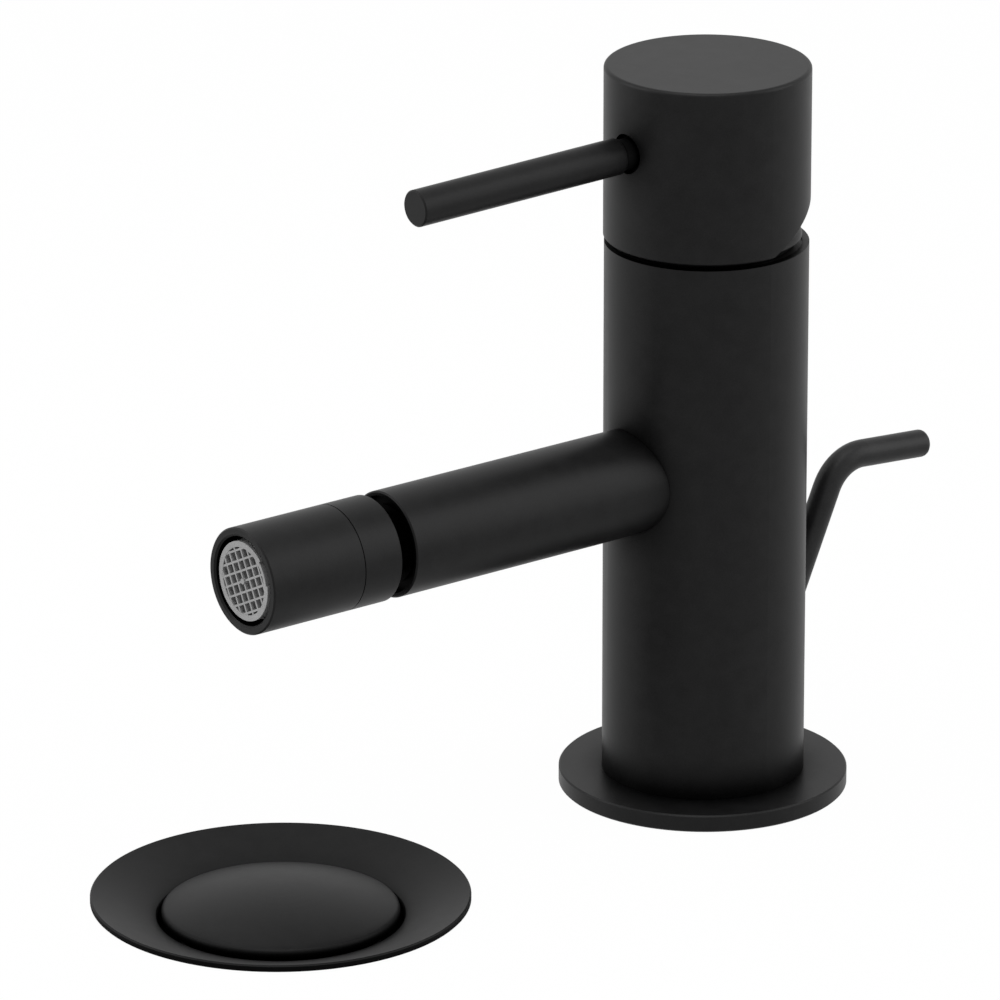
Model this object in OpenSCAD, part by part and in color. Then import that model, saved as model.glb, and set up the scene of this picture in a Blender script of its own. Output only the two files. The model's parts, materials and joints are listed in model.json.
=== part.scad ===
// Single-lever bidet mixer with a ball-jointed spout nozzle, a pop-up lift rod and its waste.
// Origin: centre of the base flange's underside, on the deck. The spout points to -Y, +Z is up.

/* [Body and base] */
// Diameter of the upright body
body_d = 42; // [40:0.5:46]
// Height of the body's top rim above the deck
body_top = 118.4; // [112:0.1:130]
// Width of the rim round the cartridge opening
rim_w = 1.45; // [1.2:0.05:1.6]
// Diameter of the base flange
flange_d = 60; // [56:1:70]
// Thickness of the base flange
flange_t = 3.65; // [3:0.05:6]
// Diameter of the spigot that locates the body in the tap hole
spigot_d = 32.6; // [32:0.1:33.5]
// How far the spigot reaches below the deck
spigot_drop = 3; // [2:0.5:6]

/* [Spout] */
// Height of the spout's axis above the deck
spout_z = 70.35; // [62:0.05:76]
// Diameter of the spout and of its nozzle
spout_d = 22; // [21.6:0.1:23]
// Distance from the body's axis to the spout's end face
spout_reach = 82.5; // [70:0.5:100]
// Diameter of the spout's bore
spout_bore = 12; // [11:0.5:13]

/* [Nozzle] */
// Open gap between the spout's end face and the nozzle
nozzle_gap = 3.5; // [3.3:0.1:4.5]
// Length of the rear collar that holds the ball
collar_l = 9.2; // [9:0.1:11]
// Length of the front sleeve
sleeve_l = 22.7; // [21:0.1:28]
// Radius of the ball on the spout's end
ball_r = 9.2; // [9:0.1:9.3]
// Diameter of the nozzle's mouth
mouth_d = 18.4; // [17.6:0.1:19]
// Outer diameter of the aerator insert
insert_d = 16.35; // [15.6:0.05:16.5]
// Pitch of the aerator's square grid
grid_pitch = 2.1; // [1.8:0.05:2.6]
// Thickness of the grid's bars
grid_bar = 0.42; // [0.3:0.02:0.7]
// Turn of the grid about the nozzle's axis
grid_turn = 27; // [0:1:90]

/* [Handle] */
// How much wider than the body the handle is
handle_over = 0.4; // [0:0.1:1.5]
// Height of the handle
handle_h = 36.3; // [32:0.1:45]
// Open gap between the body's rim and the handle
handle_gap = 1.2; // [1:0.1:2.5]
// Rise of the handle's rear bottom bevel
bevel_rise = 27.9; // [27:0.1:32]
// Diameter of the lever
lever_d = 7.6; // [6.5:0.1:8]
// Distance from the handle's axis to the lever's tip
lever_reach = 74.6; // [55:0.1:100]
// Droop of the lever towards its tip
lever_droop = 1.2; // [0:0.1:3]

/* [Cartridge] */
// Outer diameter of the cartridge
cartridge_d = 34.8; // [34.4:0.1:35]
// Height of the lever's pivot above the body's rim
pivot_rise = 2.1; // [1.9:0.1:2.6]
// Distance from the pivot down to the ball that drives the moving disc
drive_arm = 11.6; // [11.2:0.1:12]
// Thickness of each ceramic disc
disc_t = 3.2; // [2.8:0.1:3.6]
// Width of the stem's square head
stem_w = 7.9; // [7:0.1:8.2]

/* [Lift rod] */
// Diameter of the lift rod
rod_d = 5.8; // [5:0.1:6.2]
// Lean of the lift rod's shank from upright
rod_lean = 24; // [22:0.5:26]
// Where the shank's axis crosses the deck plane, behind the body's axis
rod_foot = 7; // [6:0.1:8]
// Length of the straight shank above the deck plane
rod_shank = 63; // [56:0.5:75]
// Radius of the bend, to the rod's axis
rod_bend = 9.4; // [8:0.1:14]
// Length of the rod's finger piece after the bend
rod_finger = 17; // [12:0.5:30]
// Droop of the finger piece
rod_droop = 4.2; // [0:0.1:8]

/* [Fixing] */
// Thickness of the deck that the mixer is clamped to
deck_t = 20; // [18:1:22]
// Diameter of the fixing studs
stud_d = 6; // [5:1:6]
// Distance of each stud to the side of the body's axis
stud_x = 10; // [9.5:0.1:10.5]
// Distance of the studs behind the body's axis
stud_y = 7; // [6.5:0.1:8]
// Diameter of the supply ports in the body's underside
port_d = 9; // [8:0.1:9.4]

/* [Waste] */
// Distance from the body's axis forward to the waste's axis
waste_reach = 109; // [100:1:125]
// Diameter of the waste's flange
waste_d = 77; // [72:1:82]
// Height of the flange's lip above the basin
lip_h = 1.5; // [1.2:0.1:2.5]
// Diameter of the well that the plug sits in
well_d = 50; // [48:0.1:51]
// Fall of the flange's dish from the lip to the well
dish_fall = 4.5; // [4:0.1:5]
// Diameter of the plug
plug_d = 48.4; // [46:0.1:48.6]
// Rise of the plug's domed face
plug_dome = 3; // [2:0.1:3.6]
// Height of the plug's edge above the well's rim
plug_stand = 2.4; // [2:0.1:3]
// Inner diameter of the waste's tube
waste_bore = 35; // [34:0.2:36]
// Outer diameter of the waste's threaded tube
waste_tube_d = 41.8; // [41:0.1:42.4]
// Outer diameter of the tailpiece
tail_d = 32; // [30:0.5:32]
// Depth of the tailpiece's end below the deck's underside
tail_drop = 90; // [80:1:110]
// Depth of the ball rod's axis below the deck's underside
pivot_drop = 25; // [24.5:0.5:27]
// Diameter of the ball rod
ball_rod_d = 5; // [4.5:0.1:5.4]

/* [Hidden] */

$fn = 96;
// Clearance on the radius of pieces that screw or press into one another
fit = 0.05;
// Clearance between surfaces that move on one another
run = 0.06;
// How far a cut runs past the face it starts from
over = 1;
// Small bevel on outer edges
edge = 0.3;
finish = "#2b2b2c";
brass = "#b8974f";
steel = "#b9babb";
rubber = "#1d1d1d";
plastic = "#e4e2da";
ceramic = "#f2f0ec";

// Body bores and base
body_r = body_d / 2;
thread_r = body_r - rim_w;
chamber_r = cartridge_d / 2 + 0.4;
port_x = 9;
port_y = -3.5;
port_l = 12;
inlet_x = 7.5;
inlet_y = -5;
waterway_d = 4.6;
outlet_d = 7.2;
outlet_y = 7.5;
socket_d = 14;
socket_l = 8;
socket_wall = 5;
oring_depth = 1.5;
oring_w = 1.6;
oring_s = body_d / 2 - socket_l + 2.8;
stud_hole_l = 12;
rod_hole_d = rod_d + 0.6;
bush_d = rod_d + 2.6;
bush_l = 14;
locator_d = 3;
locator_l = 2.5;
locator_x = 12;
locator_y = 6;
gasket_groove_t = 1.2;
gasket_outer = flange_d / 2 - 3;
gasket_inner = flange_d / 2 - 6;

// Levels of the cartridge, from the pivot down to the chamber's floor
pivot_z = body_top + pivot_rise;
drive_z = pivot_z - drive_arm;
drive_ball_r = 2.3;
driver_z = drive_z - drive_ball_r - 0.3;
driver_t = 4.4;
moving_z = driver_z - disc_t;
fixed_z = moving_z - disc_t;
base_t = 4.5;
chamber_z = fixed_z - base_t;
carrier_z = driver_z + driver_t + 0.1;
carrier_rim_t = 1.6;
plate_z = carrier_z + carrier_rim_t + run;
plate_t = 2;
shoulder_z = plate_z + plate_t;
neck_top = pivot_z + 2.5;
neck_r = 12.4;
carrier_r = 10.9;
thread_z = plate_z - 2;
nut_t = 2.6;
slot_w = 3.5;
slot_t = 1.2;
housing_wall = 1.5;
seal_groove = 1.6;
disc_offset = 2.4;
moving_r = 13.2;
channel_r = moving_r - 4.6;
channel_t = disc_t / 2;
fixed_r = cartridge_d / 2 - housing_wall - 0.7;
stem_body_w = 7;
stem_shaft_r = 1.7;
stem_head_z = pivot_z + 6.2;
stem_body_z = pivot_z - 4;
pin_d = 3.5;
pin_recess = 0.4;
slot_front = 8.8;
slot_rear = 6.6;

// Handle
handle_d = body_d + handle_over;
handle_r = handle_d / 2;
handle_z = body_top + handle_gap;
handle_top = handle_z + handle_h;
top_round = 0.8;
bevel_start = 0.25;
skirt_r = handle_r - 1.3;
cover_r = skirt_r - 0.4;
ceiling_z = pivot_z + 14;
lever_z = handle_z + 21.6;
lever_root = handle_r + 2.2;
lever_neck_d = lever_d - 1.1;
lever_recess = 1.8;
lever_gap = 0.35;
lever_inner = 12.5;
grub_d = 5;
grub_l = 5.2;
grub_socket = 2.5;
stem_top = ceiling_z + 11.5;

// Nozzle, along the spout from the body's axis
nozzle_s = spout_reach + nozzle_gap;
split_s = nozzle_s + collar_l;
tip_s = split_s + sleeve_l;
nozzle_r = spout_d / 2;
recess_r = nozzle_r - 0.9;
recess_l = 2;
ball_s = nozzle_s + 3;
slip_r = ball_r + 0.5;
slip_back = 2.8;
slip_front = -1;
collar_seat_r = slip_r + fit;
collar_thread_r = collar_seat_r + 0.15;
thread_start = ball_r * 0.45;
socket_gap = 0.4;
stub_l = 10;
neck_d = 12.4;
shoulder_d = 16;
shoulder_l = 0.8;
ball_face = 0.86 * ball_r;
seal_r = 0.9;
seal_ring_r = 7.4;
seal_gap = 0.03;
seal_s = ball_s + sqrt(pow(ball_r + seal_r + seal_gap, 2) - pow(seal_ring_r, 2));
nozzle_bore = 9.2;
seal_well = seal_r + seal_gap;
seat_s = seal_s + seal_well;
split_gap = 0.12;
gasket_s = tip_s - 9.9;
gasket_t = 0.9;
mouth_l = 3;
mouth_bevel = 0.4;
insert_s = gasket_s + gasket_t + fit;
insert_end = tip_s - 0.35;
insert_wall = 1.2;
insert_inner = insert_d / 2 - insert_wall;
insert_thread_d = insert_d + 0.15;
key_angle = 38;
key_depth = 0.5;
key_l = 1.6;
grid_l = 2;
grid_end = insert_end - 0.05;
hub_r = 0.6;
hub_rise = 0.3;
screen_pitch = 2.4;
screen_bar = 0.4;
screen_t = 0.5;
screen_step = 1.2;

// Fixing under the deck
stud_drop = 24;
washer_r = 25;
washer_t = 2.5;
pad_t = 2;
hose_slot = 28;
hose_slot_rear = 1.5;
fixing_nut_t = 5;

// Lift rod and its linkage
pivot_depth = deck_t + pivot_drop;
eye_s = -pivot_depth / cos(rod_lean);
eye_y = rod_foot - pivot_depth * tan(rod_lean);
waste_y = -waste_reach;
inner_arm = 26;
ball_pivot_y = waste_y + inner_arm;
ball_rod_r = ball_rod_d / 2;
rod_end_s = eye_s + 9;
rod_sweep = 90 + rod_droop - rod_lean;
rod_edge = 1.2;
barrel_r = 4.3;
barrel_l = 12.6;
clamp_s = eye_s + 14;
clamp_screw_d = 3;
knob_r = 3.2;
knob_t = 4;
eye_r = 7.5;
eye_t = 5;
eye_play = 0.95;
pivot_ball_r = 5.5;

// Waste levels, from the flange down
well_r = well_d / 2;
lip_r = waste_d / 2;
rim_z = lip_h - dish_fall;
plate_w = 1.6;
rest_r = lip_r - 1.8;
well_outer = well_r + plate_w;
under_slope = (plate_w - rim_z) / (rest_r - well_outer);
tube_r = waste_tube_d / 2;
bore_r = waste_bore / 2;
tube_end = 5 - pivot_depth;
overflow_w = 12;
overflow_t = 5;
overflow_z = -19;
flange_gasket_r = rest_r - 1.2;
flange_gasket_t = 1.2;
cone_t = 7;
cone_step = 1.5;
cone_r = tube_r + 9.6;
cone_z = 2 - deck_t - cone_t;
slip_t = 2;
back_nut_r = tube_r + 6.6;
back_nut_t = 5.5;
back_nut_z = cone_z - slip_t - back_nut_t;

// Plug
plug_r = plug_d / 2;
plug_edge_r = 1.2;
plug_edge_z = rim_z + plug_stand - plug_edge_r;
plug_under_z = plug_edge_z - 3;
plug_seal_t = 2.6;
well_floor = plug_under_z - plug_seal_t - 0.1;
guide_r = bore_r - 0.6;
guide_t = 1.4;
seal_inner = bore_r - 1.9;
boss_end = -20;
boss_r = 6;
boss_hole = 10;
plug_stem_r = 3;
fin_w = 1.8;
fin_h = 6.5;
lock_nut_t = 4;

// Lower body, tailpiece and the ball rod's seat
sleeve_wall = 3;
thin_wall = 1.2;
neck_z = -pivot_depth - 15;
neck_l = 14;
tail_r = tail_d / 2;
tail_spigot_r = tail_r - 0.6;
tail_seat_l = 3;
tail_nut_floor = 3;
tail_nut_z = neck_z - neck_l - tail_seat_l - tail_nut_floor;
tail_nut_h = 15;
tail_nut_r = tube_r + sleeve_wall + 0.6;
seat_r = pivot_ball_r + 1.5;
seat_back = 3.6;
seat_hole_r = ball_rod_r + 2.4;
side_boss_r = seat_r + 2.5;
ball_nut_r = side_boss_r + 2.3;
ball_nut_h = 9;

// Points of an arc in a profile
function arc(x, y, r, from, to, steps = 8) =
    [for (i = [0:steps]) let (a = from + (to - from) * i / steps) [x + r * cos(a), y + r * sin(a)]];

module turned(points) {
    rotate_extrude() polygon(points);
}

module ring(outer, inner, height) {
    difference() {
        cylinder(r = outer, h = height);
        translate([0, 0, -over]) cylinder(r = inner, h = height + 2 * over);
    }
}

module torus(ring_r, section_r) {
    rotate_extrude() translate([ring_r, 0]) circle(r = section_r, $fn = 32);
}

module hexagon(across, height) {
    cylinder(d = across / cos(30), h = height, $fn = 6);
}

// Local Z runs along the spout to the front, from the body's axis
module on_spout() {
    translate([0, 0, spout_z]) rotate([90, 0, 0]) children();
}

// Local Z runs along the lever to its tip, from the handle's axis
module on_lever() {
    translate([0, 0, lever_z]) rotate([90 + lever_droop, 0, 0]) children();
}

// Local Z runs up the lift rod's shank, from the deck plane
module on_rod() {
    translate([0, rod_foot, 0]) rotate([-rod_lean, 0, 0]) children();
}

// Local Z runs from the waste's axis to the rear along the ball rod
module on_ball_rod() {
    translate([0, waste_y, -pivot_depth]) rotate([-90, 0, 0]) children();
}

// Upright body

module mixer_body() color(finish) difference() {
    union() {
        translate([0, 0, flange_t]) cylinder(r = body_r, h = body_top - flange_t);
        translate([0, 0, -spigot_drop]) cylinder(d = spigot_d, h = spigot_drop + flange_t + over);
    }
    translate([0, 0, chamber_z]) cylinder(r = chamber_r, h = body_top);
    translate([0, 0, thread_z]) cylinder(r = thread_r, h = body_top);
    for (side = [-1, 1]) {
        translate([side * port_x, port_y, -spigot_drop - over]) cylinder(d = port_d, h = port_l + over);
        translate([side * inlet_x, inlet_y, port_l - spigot_drop - over])
            cylinder(d = waterway_d, h = chamber_z + spigot_drop - port_l + 2 * over);
        translate([side * stud_x, stud_y, -spigot_drop - over])
            cylinder(d = stud_d, h = stud_hole_l + over);
        translate([side * locator_x, locator_y, chamber_z - locator_l])
            cylinder(d = locator_d, h = locator_l + over);
    }
    translate([0, outlet_y, spout_z]) cylinder(d = outlet_d, h = chamber_z - spout_z + over);
    on_spout() translate([0, 0, -outlet_y]) cylinder(d = outlet_d, h = body_r + outlet_y);
    on_spout() translate([0, 0, body_r - socket_l]) cylinder(d = socket_d, h = body_r);
    on_rod() translate([0, 0, -bush_l]) cylinder(d = rod_hole_d, h = body_d + 2 * bush_l);
    on_rod() translate([0, 0, -bush_l]) cylinder(d = bush_d, h = 2 * bush_l);
}

module base_flange() color(finish) turned([
    [spigot_d / 2 + fit, 0],
    [gasket_inner, 0],
    [gasket_inner, gasket_groove_t],
    [gasket_outer, gasket_groove_t],
    [gasket_outer, 0],
    [flange_d / 2 - edge, 0],
    [flange_d / 2, edge],
    [flange_d / 2, flange_t - edge],
    [flange_d / 2 - edge, flange_t],
    [spigot_d / 2 + fit, flange_t]]);

module base_gasket() color(rubber) ring(gasket_outer - fit, gasket_inner + fit, gasket_groove_t - fit);

// Spout

module spout() color(finish) difference() {
    union() {
        difference() {
            on_spout() turned([
                [0, body_r / 2],
                [nozzle_r, body_r / 2],
                [nozzle_r, spout_reach - edge],
                [nozzle_r - edge, spout_reach],
                [0, spout_reach]]);
            cylinder(r = body_r + fit, h = body_top);
        }
        on_spout() translate([0, 0, body_r - socket_l + fit])
            cylinder(d = socket_d - 2 * fit, h = socket_l + over);
    }
    on_spout() cylinder(d = outlet_d, h = spout_reach + over);
    on_spout() translate([0, 0, body_r + socket_wall]) cylinder(d = spout_bore, h = spout_reach);
    on_spout() translate([0, 0, spout_reach - recess_l]) cylinder(r = recess_r, h = recess_l + over);
    on_spout() translate([0, 0, oring_s - oring_w / 2])
        ring(socket_d / 2 + over, socket_d / 2 - oring_depth, oring_w);
}

module spout_oring() color(rubber) on_spout()
    translate([0, 0, oring_s]) torus(socket_d / 2 - oring_depth / 2, oring_depth / 2 - 0.03);

module ball_stub() color(finish) on_spout() translate([0, 0, spout_reach - recess_l]) {
    ball_z = ball_s - spout_reach + recess_l;
    difference() {
        union() {
            translate([0, 0, -stub_l]) cylinder(d = spout_bore - 2 * fit, h = stub_l + over);
            cylinder(d = shoulder_d, h = shoulder_l);
            cylinder(d = neck_d, h = ball_z);
            translate([0, 0, ball_z]) sphere(r = ball_r);
        }
        translate([0, 0, ball_z + ball_face]) cylinder(r = ball_r, h = ball_r);
        translate([0, 0, -stub_l - over]) cylinder(d = outlet_d, h = stub_l + ball_z + 2 * ball_r);
    }
}

// Nozzle

module ball_slip_ring() color(plastic) on_spout() translate([0, 0, ball_s]) difference() {
    intersection() {
        sphere(r = slip_r);
        translate([0, 0, -slip_back]) cylinder(r = slip_r + over, h = slip_back + slip_front);
    }
    sphere(r = ball_r + fit);
}

module nozzle_collar() color(finish) on_spout() difference() {
    translate([0, 0, nozzle_s]) turned([
        [ball_r - over, 0],
        [nozzle_r - edge, 0],
        [nozzle_r, edge],
        [nozzle_r, collar_l],
        [ball_r - over, collar_l]]);
    translate([0, 0, ball_s]) sphere(r = collar_seat_r);
    translate([0, 0, ball_s]) cylinder(r = collar_thread_r, h = collar_l);
}

module nozzle_sleeve() color(finish) on_spout() difference() {
    union() {
        turned([
            [0, split_s + split_gap],
            [nozzle_r - 0.1, split_s + split_gap],
            [nozzle_r, split_s + split_gap + 0.1],
            [nozzle_r, tip_s - edge],
            [nozzle_r - edge, tip_s],
            [0, tip_s]]);
        translate([0, 0, ball_s + thread_start])
            cylinder(r = collar_thread_r - fit, h = split_s - ball_s);
    }
    translate([0, 0, ball_s]) sphere(r = ball_r + socket_gap);
    translate([0, 0, seat_s - 2 * seal_well]) cylinder(r = seal_ring_r + seal_well, h = 2 * seal_well);
    translate([0, 0, ball_s]) cylinder(d = nozzle_bore, h = tip_s - ball_s);
    translate([0, 0, gasket_s]) cylinder(d = insert_thread_d + 2 * fit, h = tip_s - gasket_s);
    translate([0, 0, tip_s - mouth_l]) cylinder(d = mouth_d, h = mouth_l + over);
    translate([0, 0, tip_s - mouth_bevel]) cylinder(d1 = mouth_d, d2 = mouth_d + 1, h = mouth_bevel + 0.1);
}

module nozzle_seal() color(rubber) on_spout() translate([0, 0, seal_s]) torus(seal_ring_r, seal_r);

// One square grid of bars that fills a circle
module grid(radius, pitch, bar, depth) {
    count = floor(radius / pitch);
    intersection() {
        cylinder(r = radius, h = depth);
        union() {
            for (i = [-count:count]) {
                translate([i * pitch - bar / 2, -radius, 0]) cube([bar, 2 * radius, depth]);
                translate([-radius, i * pitch - bar / 2, 0]) cube([2 * radius, bar, depth]);
            }
        }
    }
}

module aerator_insert() color(steel) on_spout() rotate([0, 0, grid_turn]) {
    difference() {
        union() {
            translate([0, 0, insert_s]) cylinder(d = insert_d, h = insert_end - insert_s);
            translate([0, 0, insert_s]) cylinder(d = insert_thread_d, h = tip_s - mouth_l - insert_s);
        }
        translate([0, 0, insert_s - over]) cylinder(r = insert_inner, h = insert_end - insert_s + 2 * over);
        rotate([0, 0, -key_angle / 2]) translate([0, 0, insert_end - key_l])
            rotate_extrude(angle = key_angle)
                translate([insert_d / 2 - key_depth, 0]) square([over, key_l + over]);
    }
    translate([0, 0, grid_end - grid_l]) {
        grid(insert_inner + 0.1, grid_pitch, grid_bar, grid_l);
        cylinder(r = hub_r, h = grid_l + hub_rise, $fn = 24);
    }
}

module aerator_screens() color(steel) on_spout() for (layer = [0, 1])
    translate([0, 0, grid_end - grid_l - 0.4 - screen_step * (layer + 1)]) rotate([0, 0, 45 * layer]) {
        ring(insert_inner - fit, insert_inner - 0.9, screen_t);
        grid(insert_inner - 0.5, screen_pitch, screen_bar, screen_t);
    }

module aerator_gasket() color(rubber) on_spout() translate([0, 0, gasket_s])
    ring(insert_thread_d / 2, nozzle_bore / 2 + 0.3, gasket_t);

// Handle

module handle() color(finish) difference() {
    turned(concat(
        [[0, handle_z], [handle_r - edge, handle_z], [handle_r, handle_z + edge]],
        arc(handle_r - top_round, handle_top - top_round, top_round, 0, 90),
        [[0, handle_top]]));
    translate([0, 0, handle_z - over]) cylinder(r = skirt_r, h = pivot_z - handle_z + over);
    intersection() {
        translate([0, 0, pivot_z]) sphere(r = skirt_r);
        translate([0, 0, handle_z - over]) cylinder(r = handle_r, h = ceiling_z - handle_z + over);
    }
    translate([0, bevel_start, handle_z]) rotate([bevel_rise, 0, 0])
        translate([-handle_d, 0, -handle_h]) cube([2 * handle_d, 2 * handle_d, handle_h]);
    on_lever() {
        translate([0, 0, handle_r - lever_recess]) cylinder(d = lever_d + 2 * lever_gap, h = handle_r);
        translate([0, 0, lever_inner - 0.3]) cylinder(d = lever_neck_d + 2 * fit, h = handle_r);
        cylinder(d = grub_d + 2 * fit, h = handle_r - lever_recess - over);
    }
    translate([-stem_w / 2 - fit, -stem_w / 2 - fit, ceiling_z - over])
        cube([stem_w + 2 * fit, stem_w + 2 * fit, stem_top - ceiling_z + 1.5 * over]);
}

module lever() color(finish) on_lever() {
    translate([0, 0, lever_inner]) cylinder(d = lever_neck_d, h = lever_root - lever_inner + over);
    translate([0, 0, lever_root]) turned([
        [0, 0],
        [lever_d / 2 - edge, 0],
        [lever_d / 2, edge],
        [lever_d / 2, lever_reach - lever_root - edge],
        [lever_d / 2 - edge, lever_reach - lever_root],
        [0, lever_reach - lever_root]]);
}

module handle_grub_screw() color(steel) on_lever()
    translate([0, 0, stem_w / 2 + 0.15]) difference() {
        cylinder(d = grub_d, h = grub_l);
        translate([0, 0, grub_l - grub_socket]) hexagon(grub_socket, grub_socket + over);
    }

// Cartridge

module cartridge_housing() color(plastic) difference() {
    union() {
        translate([0, 0, fixed_z]) cylinder(d = cartridge_d, h = shoulder_z - fixed_z);
        translate([0, 0, shoulder_z - over]) cylinder(r = neck_r, h = neck_top - shoulder_z + over);
    }
    translate([0, 0, fixed_z - over])
        cylinder(r = cartridge_d / 2 - housing_wall, h = plate_z - fixed_z + over);
    cylinder(r = carrier_r + run, h = 2 * body_top);
}

module cartridge_base() color(plastic) difference() {
    union() {
        translate([0, 0, chamber_z]) cylinder(d = cartridge_d, h = base_t);
        for (side = [-1, 1])
            translate([side * locator_x, locator_y, chamber_z - locator_l + 0.3])
                cylinder(d = locator_d - 2 * fit, h = locator_l);
    }
    at_ports(waterway_d, outlet_d) cylinder(r = $port_r, h = 2 * body_top);
    at_ports(waterway_d, outlet_d) translate([0, 0, chamber_z - over])
        ring($port_r + seal_groove + 0.3, $port_r + 0.3, over + seal_groove);
}

// Puts its child at the hot, cold and mixed-water openings
module at_ports(inlet_d, mixed_d) {
    for (side = [-1, 1]) translate([side * inlet_x, inlet_y, 0]) {
        $port_r = inlet_d / 2;
        children();
    }
    translate([0, outlet_y, 0]) {
        $port_r = mixed_d / 2;
        children();
    }
}

module cartridge_seals() color(rubber) at_ports(waterway_d, outlet_d)
    translate([0, 0, chamber_z + seal_groove / 2])
        torus($port_r + 0.3 + seal_groove / 2, seal_groove / 2 - 0.02);

module fixed_disc() color(ceramic) difference() {
    translate([0, 0, fixed_z]) cylinder(r = fixed_r, h = disc_t);
    at_ports(waterway_d, outlet_d) cylinder(r = $port_r, h = 2 * body_top);
}

module moving_disc() color(ceramic) difference() {
    translate([0, disc_offset, moving_z + 0.02]) cylinder(r = moving_r, h = disc_t - 0.02);
    translate([0, 2 * disc_offset, moving_z - over]) cylinder(r = channel_r, h = over + channel_t);
}

module disc_driver() color(plastic) difference() {
    translate([0, disc_offset, driver_z]) cylinder(r = moving_r, h = driver_t);
    translate([0, 0, driver_z - over]) cylinder(r = drive_ball_r + 0.15, h = driver_t + 2 * over);
}

module stem_carrier() color(plastic) difference() {
    union() {
        translate([0, 0, carrier_z]) cylinder(r = fixed_r, h = carrier_rim_t);
        translate([0, 0, carrier_z]) cylinder(r = carrier_r, h = neck_top + 1 - carrier_z);
    }
    translate([-stem_body_w / 2 - run, -slot_front, carrier_z - over])
        cube([stem_body_w + 2 * run, slot_front + slot_rear, neck_top - carrier_z + 3 * over]);
    translate([-carrier_r, 0, pivot_z]) rotate([0, 90, 0]) cylinder(d = pin_d, h = 2 * carrier_r);
}

module stem_pin() color(steel)
    translate([pin_recess - carrier_r, 0, pivot_z]) rotate([0, 90, 0])
        cylinder(d = pin_d - 0.02, h = 2 * (carrier_r - pin_recess));

module stem() color(brass) difference() {
    union() {
        translate([-stem_w / 2, -stem_w / 2, stem_head_z])
            cube([stem_w, stem_w, stem_top - stem_head_z]);
        translate([-stem_body_w / 2, 0.1 - stem_body_w / 2, stem_body_z])
            cube([stem_body_w, stem_body_w - 0.2, stem_head_z + over - stem_body_z]);
        translate([0, 0, drive_z]) cylinder(r = stem_shaft_r, h = pivot_z - drive_z);
        translate([0, 0, drive_z]) sphere(r = drive_ball_r);
    }
    translate([-carrier_r, 0, pivot_z]) rotate([0, 90, 0]) cylinder(d = pin_d + 0.1, h = 2 * carrier_r);
}

module retaining_nut() color(brass) difference() {
    translate([0, 0, shoulder_z]) ring(thread_r - fit, neck_r + 0.15, nut_t);
    for (slot = [0:5])
        rotate([0, 0, 60 * slot])
            translate([thread_r - slot_w, -slot_w / 2, shoulder_z + nut_t - slot_t])
                cube([2 * slot_w, slot_w, slot_t + over]);
}

module cover_ring() color(finish) {
    seat = shoulder_z + nut_t;
    brim = body_top + 1.5;
    wall_r = cover_r - 1.7;
    dome_r = 1.4;
    turned(concat(
        [[neck_r + 0.6, pivot_z + 2.2], [wall_r - 1.2, brim - 0.4], [wall_r - 1.2, seat]],
        [[thread_r - fit, seat], [thread_r - fit, seat + 1], [wall_r, seat + 1]],
        [[wall_r, brim], [cover_r, brim]],
        arc(cover_r - dome_r, brim, dome_r, 0, 72, 6),
        [[neck_r + 0.6, pivot_z + 3.4]]));
}

// Lift rod

// Local Z runs along the rod's finger piece from the end of the bend
module on_finger() {
    translate([0, rod_bend, rod_shank]) rotate([-rod_sweep, 0, 0]) translate([0, -rod_bend, 0]) children();
}

module lift_rod() color(finish) on_rod() {
    tip_z = rod_finger - rod_edge;
    translate([0, 0, rod_end_s]) cylinder(d = rod_d, h = rod_shank + fit - rod_end_s);
    translate([0, rod_bend, rod_shank]) rotate([90, 0, -90])
        rotate_extrude(angle = rod_sweep) translate([rod_bend, 0]) circle(d = rod_d - 0.02);
    on_finger() translate([0, 0, -fit]) cylinder(d = rod_d, h = tip_z + fit);
    on_finger() turned(concat(
        [[0, tip_z - 0.5], [rod_d / 2 - 0.02, tip_z - 0.5]],
        arc(rod_d / 2 - 0.02 - rod_edge, tip_z, rod_edge, 0, 90, 5),
        [[0, rod_finger]]));
}

module rod_bush() color(plastic) on_rod() ring(bush_d / 2 - fit, rod_d / 2 + run, bush_l - 0.1);

// Fixing under the deck

module fixing_studs() color(steel) for (side = [-1, 1])
    translate([side * stud_x, stud_y, -deck_t - stud_drop])
        cylinder(d = stud_d - 2 * fit, h = deck_t + stud_drop - spigot_drop + stud_hole_l - over);

// Plate shaped like a horseshoe, open to the front for the supply hoses
module horseshoe(height) {
    difference() {
        cylinder(r = washer_r, h = height);
        translate([-hose_slot / 2, -washer_r - over, -over])
            cube([hose_slot, washer_r + over + hose_slot_rear, height + 2 * over]);
        translate([0, 0.5, -over]) cylinder(r = rod_d / 2 + 2.2, h = height + 2 * over);
        for (side = [-1, 1])
            translate([side * stud_x, stud_y, -over]) cylinder(d = stud_d + 0.6, h = height + 2 * over);
    }
}

module horseshoe_gasket() color(rubber) translate([0, 0, -deck_t - pad_t]) horseshoe(pad_t);

module horseshoe_washer() color(steel) translate([0, 0, -deck_t - pad_t - washer_t]) horseshoe(washer_t);

module fixing_nuts() color(brass) for (side = [-1, 1])
    translate([side * stud_x, stud_y, -deck_t - pad_t - washer_t - fixing_nut_t]) difference() {
        hexagon(stud_d + 4, fixing_nut_t);
        translate([0, 0, -over]) cylinder(d = stud_d, h = fixing_nut_t + 2 * over);
    }

// Linkage to the plug

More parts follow.
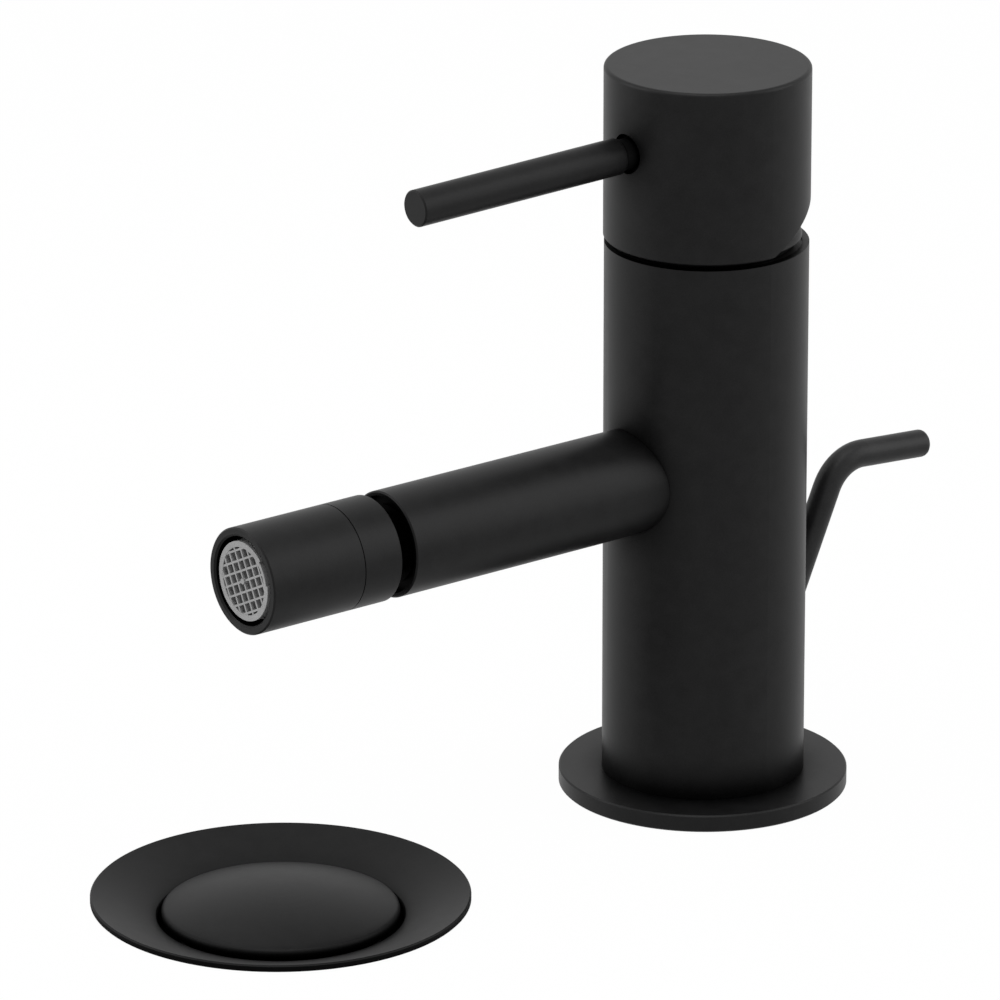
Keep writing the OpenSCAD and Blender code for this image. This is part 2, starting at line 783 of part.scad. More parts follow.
module rod_clamp() color(brass) difference() {
    union() {
        on_rod() translate([0, 0, eye_s + 5.4]) cylinder(r = barrel_r, h = barrel_l);
        translate([0, eye_y - eye_t / 2, -pivot_depth]) rotate([-90, 0, 0]) cylinder(r = eye_r, h = eye_t);
    }
    on_rod() translate([0, 0, rod_end_s - fit]) cylinder(r = rod_d / 2 + fit, h = barrel_l);
    translate([0, eye_y - eye_t, -pivot_depth]) rotate([-90, 0, 0])
        cylinder(r = ball_rod_r + eye_play, h = 2 * eye_t);
    on_rod() translate([0, 0, clamp_s]) rotate([-90, 0, 0]) cylinder(d = clamp_screw_d + 2 * fit, h = eye_r);
    translate([0, eye_y, -pivot_depth - eye_r - over])
        cylinder(d = clamp_screw_d + 2 * fit, h = eye_r - over);
}

module clamp_screws() color(steel) {
    on_rod() translate([0, rod_d / 2 + fit, clamp_s]) rotate([-90, 0, 0])
        knurled_screw(barrel_r - rod_d / 2 + 0.4);
    translate([0, eye_y, -pivot_depth - ball_rod_r - eye_play]) rotate([180, 0, 0])
        knurled_screw(eye_r - ball_rod_r - eye_play + 0.15);
}

module knurled_screw(reach) {
    cylinder(d = clamp_screw_d, h = reach + 0.5);
    translate([0, 0, reach]) difference() {
        cylinder(r = knob_r, h = knob_t);
        for (notch = [0:11])
            rotate([0, 0, 30 * notch]) translate([knob_r + 0.1, 0, -over])
                cylinder(r = 0.45, h = knob_t + 2 * over);
    }
}

// Waste

module at_waste() {
    translate([0, waste_y, 0]) children();
}

// A round grip: a cylinder with grooves cut along it
module grip(radius, height, grooves, groove_r) {
    difference() {
        cylinder(r = radius, h = height);
        for (groove = [1:grooves])
            rotate([0, 0, 360 / grooves * groove]) translate([radius + groove_r / 2, 0, -over])
                cylinder(r = groove_r, h = height + 2 * over, $fn = 24);
    }
}

module waste_flange() color(finish) at_waste() difference() {
    turned([
        [bore_r, tube_end],
        [tube_r, tube_end],
        [tube_r, well_floor - plate_w],
        [well_outer, well_floor - plate_w],
        [well_outer, rim_z - plate_w],
        [rest_r, 0],
        [lip_r - edge, 0],
        [lip_r, edge],
        [lip_r, lip_h - edge],
        [lip_r - edge, lip_h],
        [well_r + edge, rim_z],
        [well_r, rim_z - edge],
        [well_r, well_floor],
        [bore_r + thin_wall, well_floor],
        [bore_r, well_floor - thin_wall]]);
    for (side = [0, 180])
        rotate([0, 0, side]) translate([bore_r - over, -overflow_w / 2, overflow_z])
            cube([tube_r, overflow_w, overflow_t]);
}

// Level of the flange's cone-shaped underside at a radius
function under(r) = (r - rest_r) * under_slope;

module flange_gasket() color(rubber) at_waste() turned([
    [well_outer + fit, under(well_outer) - flange_gasket_t],
    [flange_gasket_r, under(flange_gasket_r) - flange_gasket_t],
    [flange_gasket_r, under(flange_gasket_r) - fit],
    [well_outer + fit, under(well_outer) - fit]]);

module cone_gasket() color(rubber) at_waste() translate([0, 0, cone_z]) turned([
    [tube_r + fit, 0],
    [cone_r - 3.5, 0],
    [cone_r, cone_t - cone_step],
    [cone_r, cone_t],
    [tube_r + fit, cone_t]]);

module slip_washer() color(plastic) at_waste()
    translate([0, 0, cone_z - slip_t]) ring(cone_r - 2.5, tube_r + fit, slip_t);

module waste_back_nut() color(brass) at_waste() translate([0, 0, back_nut_z]) difference() {
    intersection() {
        cylinder(r = back_nut_r, h = back_nut_t);
        cylinder(r = back_nut_r + 1.5, h = back_nut_t, $fn = 8);
    }
    translate([0, 0, -over]) cylinder(r = tube_r + fit, h = back_nut_t + 2 * over);
}

module waste_lower_body() color(finish) difference() {
    union() {
        at_waste() turned([
            [0, neck_z - neck_l],
            [tube_r, neck_z - neck_l],
            [tube_r, neck_z + 2],
            [tube_r + thin_wall, neck_z + 4],
            [tube_r + thin_wall, tube_end - 2.5],
            [tube_r + sleeve_wall, tube_end - 1],
            [tube_r + sleeve_wall, back_nut_z - edge],
            [0, back_nut_z - edge]]);
        on_ball_rod() cylinder(r = side_boss_r, h = inner_arm + seat_r - over);
    }
    at_waste() translate([0, 0, tube_end]) cylinder(r = tube_r + fit, h = -tube_end);
    at_waste() translate([0, 0, neck_z]) cylinder(r = bore_r, h = -neck_z);
    at_waste() translate([0, 0, neck_z - neck_l - over]) cylinder(r = tail_spigot_r + fit, h = neck_l + 2 * over);
    on_ball_rod() cylinder(r = seat_hole_r, h = inner_arm);
    on_ball_rod() translate([0, 0, inner_arm - seat_back]) cylinder(r = seat_r, h = 2 * seat_r);
}

module tailpiece() color(finish) at_waste() turned([
    [tail_r - thin_wall, -deck_t - tail_drop],
    [tail_r, -deck_t - tail_drop],
    [tail_r, tail_nut_z - 0.5],
    [tail_spigot_r, tail_nut_z - 0.5],
    [tail_spigot_r, neck_z - 0.1],
    [tail_r - thin_wall, neck_z - 0.1]]);

module tailpiece_gasket() color(rubber) at_waste() translate([0, 0, neck_z - neck_l]) turned([
    [tail_spigot_r + fit, -tail_seat_l],
    [tube_r - 1.5, -tail_seat_l],
    [tube_r - edge, -fit],
    [tail_spigot_r + fit, -fit]]);

module tailpiece_nut() color(finish) at_waste() translate([0, 0, tail_nut_z]) difference() {
    grip(tail_nut_r, tail_nut_h, 18, 1.8);
    translate([0, 0, tail_nut_floor]) cylinder(r = tube_r + fit, h = tail_nut_h);
    translate([0, 0, -over]) cylinder(r = tail_r + fit, h = tail_nut_h);
}

module plug_cap() color(finish) at_waste() difference() {
    edge_x = plug_r - plug_edge_r;
    dome_r = (edge_x * edge_x + plug_dome * plug_dome) / (2 * plug_dome) + plug_edge_r;
    dome_z = plug_edge_z + plug_edge_r + plug_dome - dome_r;
    dome_angle = asin(edge_x / (dome_r - plug_edge_r));
    turned(concat(
        [[0, boss_end], [boss_r, boss_end], [boss_r, well_floor - guide_t]],
        [[guide_r, well_floor - guide_t], [guide_r, well_floor + fit]],
        [[seal_inner, well_floor + fit], [seal_inner, plug_under_z], [edge_x - 0.6, plug_under_z]],
        arc(edge_x, plug_edge_z, plug_edge_r, -50, 90 - dome_angle),
        arc(0, dome_z, dome_r, 90 - 0.9 * dome_angle, 90, 9)));
    translate([0, 0, boss_end - over]) cylinder(r = plug_stem_r + fit, h = boss_hole + over);
}

module plug_seal() color(rubber) at_waste()
    translate([0, 0, well_floor + fit]) ring(bore_r + 3, seal_inner + fit, plug_seal_t);

module plug_stem() color(brass) at_waste() {
    foot_z = ball_rod_r + plug_stem_r + 0.25 - pivot_depth;
    translate([0, 0, foot_z]) sphere(r = plug_stem_r);
    translate([0, 0, foot_z]) cylinder(r = plug_stem_r, h = boss_end + boss_hole - over - foot_z);
    for (fin = [0, 90])
        rotate([0, 0, fin]) translate([0.4 - bore_r, -fin_w / 2, foot_z + plug_stem_r + 0.75])
            cube([2 * bore_r - 0.8, fin_w, fin_h]);
}

module plug_lock_nut() color(brass) at_waste() translate([0, 0, boss_end - lock_nut_t - 0.1]) difference() {
    hexagon(10, lock_nut_t);
    translate([0, 0, -over]) cylinder(r = plug_stem_r + fit, h = lock_nut_t + 2 * over);
}

module ball_rod() color(steel) on_ball_rod() {
    translate([0, 0, -3]) cylinder(r = ball_rod_r, h = eye_y - waste_y + 12);
    translate([0, 0, inner_arm]) sphere(r = pivot_ball_r);
}

module ball_seats() color(plastic) on_ball_rod() translate([0, 0, inner_arm]) difference() {
    union() {
        translate([0, 0, fit - seat_back]) cylinder(r = seat_r - fit, h = seat_back - 1.4);
        translate([0, 0, 1.4]) cylinder(r = seat_r - fit, h = 4.6);
    }
    sphere(r = pivot_ball_r + 0.04);
    translate([0, 0, -seat_r]) cylinder(r = seat_hole_r - 0.3, h = 2 * seat_r);
}

module ball_nut() color(finish) on_ball_rod() translate([0, 0, inner_arm - 1]) difference() {
    grip(ball_nut_r, ball_nut_h, 12, 1.5);
    translate([0, 0, -over]) cylinder(r = side_boss_r + fit, h = ball_nut_h);
    cylinder(r = ball_rod_r + 2.7, h = ball_nut_h + over);
}

mixer_body();
base_flange();
base_gasket();
spout();
spout_oring();
ball_stub();
ball_slip_ring();
nozzle_collar();
nozzle_sleeve();
nozzle_seal();
aerator_insert();
aerator_screens();
aerator_gasket();
handle();
lever();
handle_grub_screw();
cartridge_housing();
cartridge_base();
cartridge_seals();
fixed_disc();
moving_disc();
disc_driver();
stem_carrier();
stem_pin();
stem();
retaining_nut();
cover_ring();
lift_rod();
rod_bush();
fixing_studs();
horseshoe_gasket();
horseshoe_washer();
fixing_nuts();
rod_clamp();
clamp_screws();
waste_flange();
flange_gasket();
cone_gasket();
slip_washer();
waste_back_nut();
waste_lower_body();
tailpiece();
tailpiece_gasket();
tailpiece_nut();
plug_cap();
plug_seal();
plug_stem();
plug_lock_nut();
ball_rod();
ball_seats();
ball_nut();
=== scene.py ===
import json
import math

import bmesh
import bpy
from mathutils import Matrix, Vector


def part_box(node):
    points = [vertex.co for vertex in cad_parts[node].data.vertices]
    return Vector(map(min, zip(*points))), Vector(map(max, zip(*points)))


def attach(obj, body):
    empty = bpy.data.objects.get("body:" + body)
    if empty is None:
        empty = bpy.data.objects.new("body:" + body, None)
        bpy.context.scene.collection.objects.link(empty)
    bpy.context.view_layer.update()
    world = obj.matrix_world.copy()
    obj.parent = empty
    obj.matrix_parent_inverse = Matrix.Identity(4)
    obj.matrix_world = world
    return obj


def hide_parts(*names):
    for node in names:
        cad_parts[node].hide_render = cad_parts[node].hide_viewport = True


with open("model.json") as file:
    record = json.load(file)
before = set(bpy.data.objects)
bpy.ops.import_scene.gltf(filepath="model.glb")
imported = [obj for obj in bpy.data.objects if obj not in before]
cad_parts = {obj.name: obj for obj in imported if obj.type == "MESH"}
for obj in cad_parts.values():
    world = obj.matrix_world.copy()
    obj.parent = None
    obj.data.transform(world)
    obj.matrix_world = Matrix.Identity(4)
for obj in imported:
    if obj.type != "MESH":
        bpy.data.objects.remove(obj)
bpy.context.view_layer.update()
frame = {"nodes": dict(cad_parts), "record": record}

# All lengths are in metres, in the part's own frame: the deck is at z = 0, the spout points to -Y.
MM = 0.001

# Camera
AZIMUTH = 52.488
ELEVATION = 19.709
DISTANCE = 1.939175
TARGET_X = -0.042205
TARGET_Z = 0.061854
FOCAL_PX = 9400.408
IMAGE_PX = 1000
SENSOR = 36.0
CLIP_NEAR = 0.1
CLIP_FAR = 20

# Stage
FLOOR_HALF = 3.0
TAP_HOLE_R = 17.5 * MM
BASIN_HOLE_R = 37.3 * MM
CIRCLE_STEPS = 128
FLOOR_TONE = (0.86, 0.86, 0.86, 1)
FLOOR_ROUGHNESS = 0.9
FLOOR_GLOW = 0.98
WORLD_LIGHT = 0.35
WHITE = (1, 1, 1, 1)

# Lamps: name, azimuth, elevation, distance, width, height and power
LAMPS = [
    ("top_light", 30, 78, 1.6, 1.2, 1.2, 14),
    ("left_light", -40, 25, 1.5, 0.8, 1.4, 9),
    ("right_light", 140, 25, 1.5, 0.8, 1.4, 9),
]
LAMP_TARGET = (0, -0.04, 0.06)

# Black finish
FINISH_DARK = (0.0026, 0.0026, 0.0027)
FINISH_LIGHT = (0.0086, 0.0086, 0.0088)
# Painted shade: the near-black base colour put in slits and at the foot of parts.
PAINTED_SHADE_COLOUR = (0.0004, 0.0004, 0.0004)
FINISH_SPECULAR = 0.15
FINISH_SHEEN = (0.415, 0.445)
GRAIN_SCALE = 3400
GRAIN_SHARE = 0.5
GRAIN_HEIGHT = 0.024 * MM
CLOUD_SCALE = 260
# Painted shade: how far the ambient-occlusion mask reaches, how much it lowers the specular and changes
# the roughness there, and its rays and range.
SHADE_REACH = 9 * MM
ROD_SHADE_REACH = 2 * MM
COVER_SHADE_REACH = 1.5 * MM
SHADE_SPECULAR = 0.1
SHADE_SHEEN = 0.8
SHADE_RAYS = 6
SHADE_RANGE = (0.45, 0.97)

# Textures
NOISE_MIDDLE = (0.3, 0.7)
TOOL_MARKS_UP = 9000
TOOL_MARKS_ROUND = 120

# Small detail
WELD = 0.001 * MM
CREASE = 30
THREAD_STEPS = 24
THREAD_PROFILE = [0, 0, 1, 1]
THREAD_DEPTH = 0.55
STUD_PITCH = 1.0 * MM
END_BEVEL = 0.3 * MM
NUT_STEPS = 48
NUT_FACE = 0.94
NUT_BEVEL = 30
HOLE_BEVEL = 0.35 * MM
STUD_HOLE_R = 3.0 * MM
PLUG_STEM_HOLE_R = 3.05 * MM
PLUG_HEAD = 5.3 * MM
PLUG_DROP = 0.6 * MM
PLACE_DIGITS = 6

WASTE_Y = (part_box("waste_flange")[0].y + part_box("waste_flange")[1].y) / 2


# Node helpers

def new_material(name):
    material = bpy.data.materials.new(name)
    material.use_nodes = True
    return material, material.node_tree, material.node_tree.nodes["Principled BSDF"]


def object_coords(tree):
    return tree.nodes.new("ShaderNodeTexCoord").outputs["Object"]


def noise(tree, scale, detail=2.0, roughness=0.5):
    node = tree.nodes.new("ShaderNodeTexNoise")
    node.inputs["Scale"].default_value = scale
    node.inputs["Detail"].default_value = detail
    node.inputs["Roughness"].default_value = roughness
    tree.links.new(object_coords(tree), node.inputs["Vector"])
    return node.outputs["Fac"]


def ranged(tree, value, source, target):
    """Maps the source range of a value to the target range, and holds it inside that."""
    node = tree.nodes.new("ShaderNodeMapRange")
    node.inputs["From Min"].default_value = source[0]
    node.inputs["From Max"].default_value = source[1]
    node.inputs["To Min"].default_value = target[0]
    node.inputs["To Max"].default_value = target[1]
    tree.links.new(value, node.inputs["Value"])
    return node.outputs["Result"]


def spread(tree, value, low, high):
    """Maps the middle of a noise, where nearly all of it lies, to low..high."""
    return ranged(tree, value, NOISE_MIDDLE, (low, high))


def between(tree, value, low, high):
    """Maps 0..1 to low..high."""
    return ranged(tree, value, (0, 1), (low, high))


def combined(tree, operation, first, second):
    node = tree.nodes.new("ShaderNodeMath")
    node.operation = operation
    tree.links.new(first, node.inputs[0])
    tree.links.new(second, node.inputs[1])
    return node.outputs["Value"]


def colours(tree, value, dark, light):
    node = tree.nodes.new("ShaderNodeMix")
    node.data_type = "RGBA"
    node.inputs["A"].default_value = (*dark, 1)
    node.inputs["B"].default_value = (*light, 1)
    tree.links.new(value, node.inputs["Factor"])
    return node.outputs["Result"]


def bump(tree, shader, height, distance, strength):
    node = tree.nodes.new("ShaderNodeBump")
    node.inputs["Distance"].default_value = distance
    node.inputs["Strength"].default_value = strength
    tree.links.new(height, node.inputs["Height"])
    tree.links.new(node.outputs["Normal"], shader.inputs["Normal"])


def unshaded_share(tree, distance):
    """1 on open surfaces, and down to 0 in slits and at the foot of what stands on them: the
    ambient-occlusion mask for the painted shade.
    """
    node = tree.nodes.new("ShaderNodeAmbientOcclusion")
    node.samples = SHADE_RAYS
    node.inputs["Distance"].default_value = distance
    return ranged(tree, node.outputs["AO"], SHADE_RANGE, (0, 1))


def shade_tops_only(tree, unshaded):
    """The painted-shade mask, counted on faces that look up, and 1 (no painted shade) on upright walls."""
    normal = tree.nodes.new("ShaderNodeNewGeometry").outputs["Normal"]
    parts = tree.nodes.new("ShaderNodeSeparateXYZ")
    mix = tree.nodes.new("ShaderNodeMix")
    mix.inputs["A"].default_value = 1.0
    tree.links.new(normal, parts.inputs["Vector"])
    tree.links.new(parts.outputs["Z"], mix.inputs["Factor"])
    tree.links.new(unshaded, mix.inputs["B"])
    return mix.outputs["Result"]


# Materials

def black_finish(
        name, tone=1.0, specular=FINISH_SPECULAR, shade_reach=SHADE_REACH, shade_sheen=SHADE_SHEEN,
        unshaded_walls=False):
    """Matt black: fine soft grain and faint clouds, with painted shade in slits and at the foot of what
    stands on it: a near-black base colour, a lower specular level and another roughness there.
    """
    material, tree, shader = new_material(name)
    grain = noise(tree, GRAIN_SCALE, detail=3, roughness=0.6)
    clouds = noise(tree, CLOUD_SCALE, detail=3, roughness=0.55)
    unshaded = unshaded_share(tree, shade_reach)
    if unshaded_walls:
        unshaded = shade_tops_only(tree, unshaded)
    marks = tree.nodes.new("ShaderNodeMix")
    marks.inputs["Factor"].default_value = GRAIN_SHARE
    tree.links.new(clouds, marks.inputs["A"])
    tree.links.new(grain, marks.inputs["B"])
    dark = [shade * tone for shade in FINISH_DARK]
    light = [shade * tone for shade in FINISH_LIGHT]
    surface = colours(tree, spread(tree, marks.outputs["Result"], 0, 1), dark, light)
    # Painted shade: the base colour goes to near black where the occlusion mask closes.
    shaded_colour = tree.nodes.new("ShaderNodeMix")
    shaded_colour.data_type = "RGBA"
    shaded_colour.inputs["A"].default_value = (*PAINTED_SHADE_COLOUR, 1)
    tree.links.new(unshaded, shaded_colour.inputs["Factor"])
    tree.links.new(surface, shaded_colour.inputs["B"])
    tree.links.new(shaded_colour.outputs["Result"], shader.inputs["Base Color"])
    sheen = spread(tree, clouds, *FINISH_SHEEN)
    sheen = combined(tree, "MULTIPLY", sheen, between(tree, unshaded, shade_sheen, 1.0))
    tree.links.new(sheen, shader.inputs["Roughness"])
    # Painted shade: the specular level drops in the same places.
    shine = between(tree, unshaded, SHADE_SPECULAR * specular, specular)
    tree.links.new(shine, shader.inputs["Specular IOR Level"])
    bump(tree, shader, grain, GRAIN_HEIGHT, strength=0.5)
    return material


def rubber():
    material, tree, shader = new_material("rubber")
    grain = noise(tree, scale=2600, detail=4, roughness=0.6)
    colour = colours(tree, spread(tree, grain, 0, 1), (0.012, 0.012, 0.012), (0.022, 0.022, 0.021))
    tree.links.new(colour, shader.inputs["Base Color"])
    sheen = spread(tree, noise(tree, scale=400), low=0.62, high=0.8)
    tree.links.new(sheen, shader.inputs["Roughness"])
    bump(tree, shader, grain, distance=0.03 * MM, strength=0.6)
    return material


def plastic(name, dark, light):
    material, tree, shader = new_material(name)
    flow = noise(tree, scale=180, detail=3)
    grain = noise(tree, scale=3800)
    tree.links.new(colours(tree, spread(tree, flow, 0, 1), dark, light), shader.inputs["Base Color"])
    tree.links.new(spread(tree, grain, low=0.36, high=0.48), shader.inputs["Roughness"])
    bump(tree, shader, grain, distance=0.01 * MM, strength=0.5)
    return material


def turned_metal(name, dark, light, low, high):
    """Metal with fine tool marks that run round the upright axis."""
    material, tree, shader = new_material(name)
    stretch = tree.nodes.new("ShaderNodeMapping")
    stretch.inputs["Scale"].default_value = (TOOL_MARKS_ROUND, TOOL_MARKS_ROUND, TOOL_MARKS_UP)
    marks = tree.nodes.new("ShaderNodeTexNoise")
    marks.inputs["Scale"].default_value = 1.0
    marks.inputs["Detail"].default_value = 3.0
    tree.links.new(object_coords(tree), stretch.inputs["Vector"])
    tree.links.new(stretch.outputs["Vector"], marks.inputs["Vector"])
    tone = spread(tree, noise(tree, scale=220, detail=4), 0, 1)
    colour = colours(tree, tone, dark, light)
    tree.links.new(colour, shader.inputs["Base Color"])
    tree.links.new(spread(tree, marks.outputs["Fac"], low, high), shader.inputs["Roughness"])
    shader.inputs["Metallic"].default_value = 1.0
    bump(tree, shader, marks.outputs["Fac"], distance=0.004 * MM, strength=0.4)
    return material


def ceramic():
    material, tree, shader = new_material("ceramic")
    grain = noise(tree, scale=900, detail=5, roughness=0.6)
    colour = colours(tree, spread(tree, grain, 0, 1), (0.78, 0.77, 0.73), (0.86, 0.85, 0.82))
    tree.links.new(colour, shader.inputs["Base Color"])
    tree.links.new(spread(tree, grain, low=0.1, high=0.2), shader.inputs["Roughness"])
    bump(tree, shader, grain, distance=0.002 * MM, strength=0.3)
    return material


def seen_directly(tree):
    """1 for rays from the camera and for those that mirror or pass the background on."""
    path = tree.nodes.new("ShaderNodeLightPath")
    total = path.outputs["Is Camera Ray"]
    for name in ("Is Glossy Ray", "Is Transmission Ray"):
        total = combined(tree, "MAXIMUM", total, path.outputs[name])
    return total


def floor_material():
    """Pale floor: mostly plain white to the camera, with a soft part of the object's shadow kept."""
    material, tree, shader = new_material("floor")
    shader.inputs["Base Color"].default_value = FLOOR_TONE
    shader.inputs["Roughness"].default_value = FLOOR_ROUGHNESS
    shader.inputs["Specular IOR Level"].default_value = 0.0
    glow = tree.nodes.new("ShaderNodeEmission")
    glow.inputs["Color"].default_value = WHITE
    mix = tree.nodes.new("ShaderNodeMixShader")
    tree.links.new(between(tree, seen_directly(tree), 0, FLOOR_GLOW), mix.inputs["Fac"])
    tree.links.new(shader.outputs["BSDF"], mix.inputs[1])
    tree.links.new(glow.outputs["Emission"], mix.inputs[2])
    tree.links.new(mix.outputs["Shader"], tree.nodes["Material Output"].inputs["Surface"])
    return material


# Camera, light and stage

def direction(azimuth, elevation):
    """Points from the mixer to a camera or a lamp. Azimuth 0 stands in front of the spout."""
    a = math.radians(azimuth)
    e = math.radians(elevation)
    return Vector((math.sin(a) * math.cos(e), -math.cos(a) * math.cos(e), math.sin(e)))


def make_camera():
    turn = math.radians(AZIMUTH)
    right = Vector((math.cos(turn), math.sin(turn), 0))
    back = direction(AZIMUTH, ELEVATION)
    camera = bpy.data.objects.new("camera", bpy.data.cameras.new("camera"))
    bpy.context.collection.objects.link(camera)
    camera.data.sensor_width = SENSOR
    camera.data.lens = FOCAL_PX / IMAGE_PX * SENSOR
    camera.data.clip_start = CLIP_NEAR
    camera.data.clip_end = CLIP_FAR
    camera.location = Vector((0, 0, TARGET_Z)) + right * TARGET_X + back * DISTANCE
    camera.rotation_mode = "QUATERNION"
    camera.rotation_quaternion = (-back).to_track_quat("-Z", "Y")
    bpy.context.scene.camera = camera


def make_world():
    """Soft light from all sides, and a plain white background to look at."""
    world = bpy.data.worlds.new("studio")
    world.use_nodes = True
    tree = world.node_tree
    light = tree.nodes["Background"]
    light.inputs["Color"].default_value = WHITE
    light.inputs["Strength"].default_value = WORLD_LIGHT
    shown = tree.nodes.new("ShaderNodeBackground")
    shown.inputs["Color"].default_value = WHITE
    shown.inputs["Strength"].default_value = 1.0
    mix = tree.nodes.new("ShaderNodeMixShader")
    tree.links.new(seen_directly(tree), mix.inputs["Fac"])
    tree.links.new(light.outputs["Background"], mix.inputs[1])
    tree.links.new(shown.outputs["Background"], mix.inputs[2])
    tree.links.new(mix.outputs["Shader"], tree.nodes["World Output"].inputs["Surface"])
    bpy.context.scene.world = world


def softbox(name, azimuth, elevation, distance, width, height, power):
    """A rectangular lamp that faces the mixer."""
    away = direction(azimuth, elevation)
    lamp = bpy.data.lights.new(name, "AREA")
    lamp.shape = "RECTANGLE"
    lamp.size = width
    lamp.size_y = height
    lamp.energy = power
    obj = bpy.data.objects.new(name, lamp)
    obj.location = Vector(LAMP_TARGET) + away * distance
    obj.rotation_mode = "QUATERNION"
    obj.rotation_quaternion = (-away).to_track_quat("-Z", "Y")
    bpy.context.collection.objects.link(obj)


def circle_points(x, y, r):
    turn = 2 * math.pi / CIRCLE_STEPS
    return [(x + r * math.cos(i * turn), y + r * math.sin(i * turn)) for i in range(CIRCLE_STEPS)]


def make_floor():
    """The deck's plane, with the tap hole and the basin's outlet cut out of it."""
    curve = bpy.data.curves.new("floor", "CURVE")
    curve.dimensions = "2D"
    curve.fill_mode = "BOTH"
    corners = [(x * FLOOR_HALF, y * FLOOR_HALF) for x, y in ((-1, -1), (1, -1), (1, 1), (-1, 1))]
    for loop in (corners, circle_points(0, 0, TAP_HOLE_R), circle_points(0, WASTE_Y, BASIN_HOLE_R)):
        spline = curve.splines.new("POLY")
        spline.points.add(len(loop) - 1)
        for point, (x, y) in zip(spline.points, loop):
            point.co = (x, y, 0, 1)
        spline.use_cyclic_u = True
    flat = bpy.data.objects.new("floor_outline", curve)
    bpy.context.collection.objects.link(flat)
    mesh = bpy.data.meshes.new_from_object(flat.evaluated_get(bpy.context.evaluated_depsgraph_get()))
    bpy.data.objects.remove(flat)
    floor = bpy.data.objects.new("floor", mesh)
    bpy.context.collection.objects.link(floor)
    mesh.materials.clear()
    mesh.materials.append(floor_material())


# Small detail

def mesh_piece(name, work, node, body, material):
    """Turns a bmesh into a closed piece that stands for a CAD node and rides on its body."""
    bmesh.ops.remove_doubles(work, verts=work.verts, dist=WELD)
    rims = [edge for edge in work.edges if edge.is_boundary]
    if rims:
        bmesh.ops.holes_fill(work, edges=rims)
    bmesh.ops.recalc_face_normals(work, faces=work.faces)
    for face in work.faces:
        face.smooth = True
    mesh = bpy.data.meshes.new(name)
    work.to_mesh(mesh)
    work.free()
    mesh.set_sharp_from_angle(angle=math.radians(CREASE))
    mesh.materials.append(MATERIALS[material])
    piece = bpy.data.objects.new(name, mesh)
    bpy.context.collection.objects.link(piece)
    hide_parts(node)
    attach(piece, body)
    return piece


def add_screw(work, x, y, low, high, r, pitch, depth):
    """A threaded rod. Its rows follow the helix, and rows past an end gather on the end's bevelled rim."""
    samples = len(THREAD_PROFILE)
    rows = []
    for i in range(-samples, samples * (math.ceil((high - low) / pitch) + 1)):
        row = []
        for step in range(THREAD_STEPS):
            angle = 2 * math.pi * step / THREAD_STEPS
            z = low + (i / samples + step / THREAD_STEPS) * pitch
            z = min(max(z, low), high)
            crest = r - depth * THREAD_PROFILE[i % samples]
            rho = min(crest, r - depth - END_BEVEL + min(z - low, high - z))
            row.append(work.verts.new((x + rho * math.cos(angle), y + rho * math.sin(angle), z)))
        rows.append(row)
    for here, above in zip(rows, rows[1:]):
        for step in range(THREAD_STEPS - 1):
            work.faces.new((here[step], here[step + 1], above[step + 1], above[step]))
    for i in range(len(rows) - samples - 1):
        work.faces.new((rows[i][-1], rows[i + samples][0], rows[i + samples + 1][0], rows[i + 1][-1]))


def threaded_studs():
    low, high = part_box("fixing_studs")
    r = (high.y - low.y) / 2
    work = bmesh.new()
    for x in (low.x + r, high.x - r):
        add_screw(work, x, low.y + r, low.z, high.z, r, STUD_PITCH, STUD_PITCH * THREAD_DEPTH)
    mesh_piece("threaded_studs", work, "fixing_studs", "root", "steel")


def add_hexagon_nut(work, x, y, low, high, across, bore_r):
    """A nut with the round bevels that a turned hexagon has, and a bevelled hole."""
    face_r = across / 2 * NUT_FACE
    slope = math.tan(math.radians(NUT_BEVEL))
    columns = []
    for step in range(NUT_STEPS):
        angle = 2 * math.pi * step / NUT_STEPS
        off_flat = angle % (math.pi / 3) - math.pi / 6
        corner_r = across / 2 / math.cos(off_flat)
        fall = (corner_r - face_r) * slope
        outline = [
            (bore_r, low + HOLE_BEVEL), (bore_r + HOLE_BEVEL, low),
            (face_r, low), (corner_r, low + fall),
            (corner_r, high - fall), (face_r, high),
            (bore_r + HOLE_BEVEL, high), (bore_r, high - HOLE_BEVEL)]
        columns.append([work.verts.new((x + rho * math.cos(angle), y + rho * math.sin(angle), z))
                        for rho, z in outline])
    for here, beside in zip(columns, columns[1:] + columns[:1]):
        for i in range(len(here)):
            work.faces.new((here[i - 1], here[i], beside[i], beside[i - 1]))


def domed_plug(material):
    """The plug, with its dome drawn further down over the well than on the plain solid."""
    low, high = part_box("plug_cap")
    work = bmesh.new()
    work.from_mesh(frame["nodes"]["plug_cap"].data)
    for vertex in work.verts:
        if vertex.co.z > high.z - PLUG_HEAD:
            away = math.hypot(vertex.co.x, vertex.co.y - WASTE_Y) / (high.x - low.x) * 2
            vertex.co.z -= PLUG_DROP * away ** 2
    piece = mesh_piece("domed_plug", work, "plug_cap", "plug", "black_finish")
    piece.data.materials[0] = material


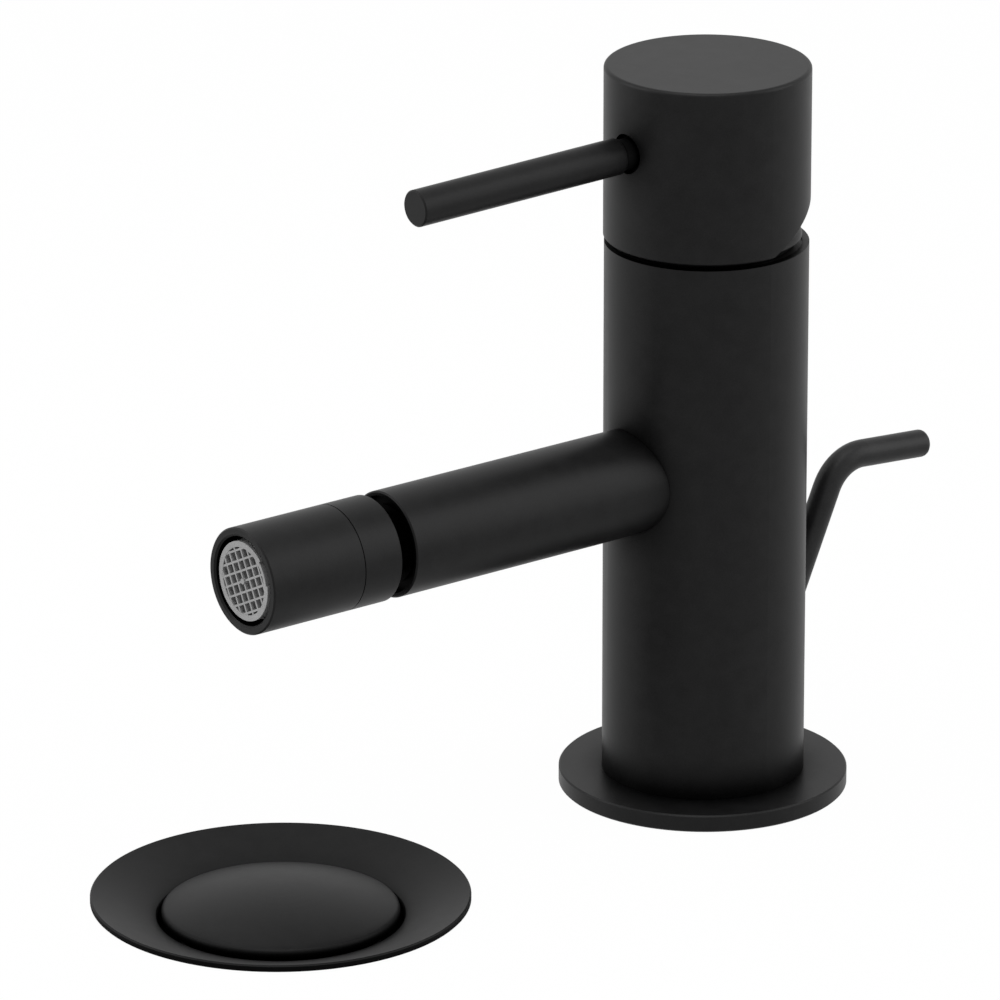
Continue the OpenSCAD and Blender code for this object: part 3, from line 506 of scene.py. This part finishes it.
def hexagon_nuts(name, node, body, bore_r):
    """A nut at each end of the node's box along X, or one where the box holds one."""
    low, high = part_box(node)
    across = high.y - low.y
    corner_r = across / math.sqrt(3)
    work = bmesh.new()
    places = {round(low.x + corner_r, PLACE_DIGITS), round(high.x - corner_r, PLACE_DIGITS)}
    for x in sorted(places):
        add_hexagon_nut(work, x, low.y + across / 2, low.z, high.z, across, bore_r)
    mesh_piece(name, work, node, body, "brass")


bpy.context.scene.view_settings.view_transform = "Standard"
make_camera()
make_world()
make_floor()
for lamp_values in LAMPS:
    softbox(*lamp_values)

MATERIALS = {
    "black_finish": black_finish("black_finish"),
    "rubber": rubber(),
    "white_plastic": plastic("white_plastic", (0.62, 0.61, 0.57), (0.7, 0.69, 0.65)),
    "black_plastic": plastic("black_plastic", (0.012, 0.012, 0.012), (0.018, 0.018, 0.018)),
    "grey_plastic": plastic("grey_plastic", (0.25, 0.25, 0.25), (0.31, 0.31, 0.31)),
    "steel": turned_metal("steel", (0.42, 0.42, 0.43), (0.58, 0.58, 0.59), low=0.22, high=0.38),
    "brass": turned_metal("brass", (0.52, 0.36, 0.14), (0.68, 0.5, 0.22), low=0.24, high=0.4),
    "ceramic": ceramic(),
}

for part in frame["record"]["subparts"]:
    for slot in frame["nodes"][part["node"]].material_slots:
        slot.material = MATERIALS[part["material_slot"]]
# Painted light: the lift rod's copy of the black finish is twice as light, standing in for light the lamps
# do not put on its shank.
rod_lit_finish = black_finish("rod_lit_finish", tone=2.0, specular=0.2, shade_reach=ROD_SHADE_REACH)
# Painted shade: the waste and its plug get a darker copy of the black finish, with less specular and
# rougher, for the shade that falls on them.
waste_shaded_finish = black_finish("waste_shaded_finish", tone=0.9, specular=0.11, shade_sheen=1.8)
# Painted shade reaches only close to slits on the cover, and stays off the flange's upright walls.
cover_finish = black_finish("cover_finish", shade_reach=COVER_SHADE_REACH)
flange_finish = black_finish("flange_finish", unshaded_walls=True)
for node, material in (
        ("lift_rod", rod_lit_finish), ("waste_flange", waste_shaded_finish), ("plug_cap", waste_shaded_finish),
        ("cover_ring", cover_finish), ("base_flange", flange_finish)):
    frame["nodes"][node].material_slots[0].material = material
domed_plug(waste_shaded_finish)
threaded_studs()
hexagon_nuts("bevelled_nuts", "fixing_nuts", "root", STUD_HOLE_R)
hexagon_nuts("bevelled_lock_nut", "plug_lock_nut", "plug", PLUG_STEM_HOLE_R)
